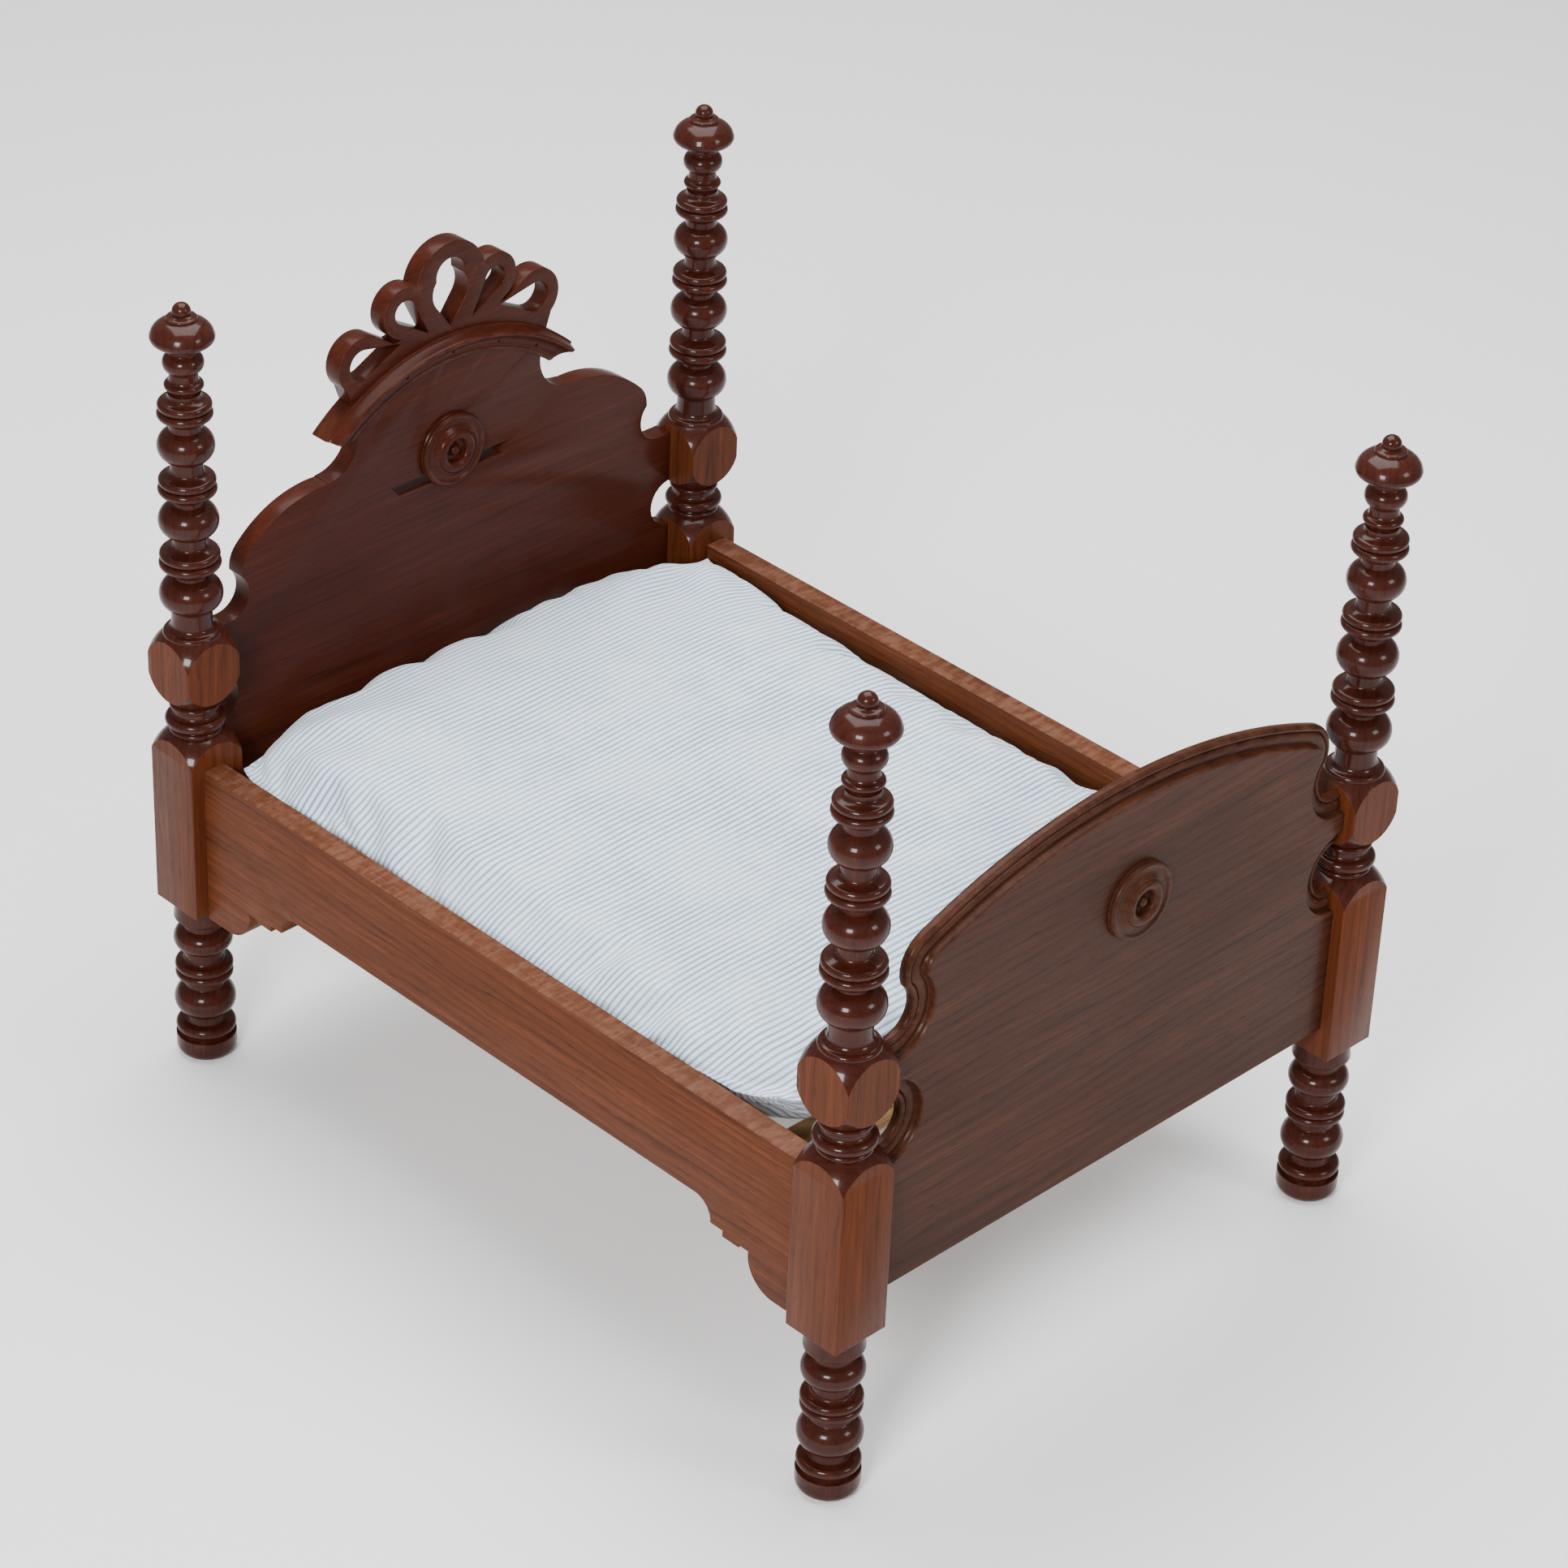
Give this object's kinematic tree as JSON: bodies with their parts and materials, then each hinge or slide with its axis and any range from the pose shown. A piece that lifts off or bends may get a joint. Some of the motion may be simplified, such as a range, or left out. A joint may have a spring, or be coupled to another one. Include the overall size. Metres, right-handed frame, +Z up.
{
  "type": "doll's poster bed",
  "caption": "Doll's poster bed with spool-turned corner posts, arched headboard with a looped crest, moulded footboard, shaped side rails, slats and a loose striped mattress",
  "frame": {"origin": "on the floor at the middle of the bed's outline", "axes": "+Z up, +Y towards the headboard, +X to the right seen from the foot end"},
  "size_m": [0.5468, 0.723, 0.637],
  "materials": {
    "post_wood": "dark walnut stain under satin varnish",
    "headboard_wood": "reddish walnut stain under satin varnish",
    "footboard_wood": "walnut stain under thin satin varnish",
    "rail_wood": "mid-brown walnut under thin worn varnish",
    "base_wood": "bare pine",
    "dowel_wood": "bare beech",
    "steel": "dulled steel",
    "ticking": "woven striped cotton ticking"
  },
  "bodies": {
    "head_end": {"post_head_left": "post_wood", "post_head_right": "post_wood", "headboard_panel": "headboard_wood", "crest_moulding": "headboard_wood", "pierced_crest": "headboard_wood", "crest_brads": "steel", "headboard_rosette": "headboard_wood", "headboard_button": "headboard_wood"},
    "side_frame": {"rail_left": "rail_wood", "rail_right": "rail_wood", "ledger_left": "base_wood", "ledger_right": "base_wood", "ledger_screws": "steel", "slat_1": "base_wood", "slat_2": "base_wood", "slat_3": "base_wood", "slat_4": "base_wood", "slat_5": "base_wood", "slat_6": "base_wood", "slat_7": "base_wood", "slat_nails": "steel", "dowels_head": "dowel_wood", "dowels_foot": "dowel_wood"},
    "foot_end": {"post_foot_left": "post_wood", "post_foot_right": "post_wood", "footboard_panel": "footboard_wood", "footboard_rosette": "footboard_wood", "footboard_button": "footboard_wood"},
    "mattress": {"mattress": "ticking"}
  },
  "joints": [
    {"name": "rails_from_head_end", "type": "slide", "parent": "head_end", "child": "side_frame", "axis": [0, -1, 0], "range_m": [0, 0.02]},
    {"name": "foot_end_from_rails", "type": "slide", "parent": "side_frame", "child": "foot_end", "axis": [0, -1, 0], "range_m": [0, 0.02]},
    {"name": "mattress_lift", "type": "slide", "parent": "side_frame", "child": "mattress", "axis": [0, 0, 1], "range_m": [0, 0.1]}
  ]
}
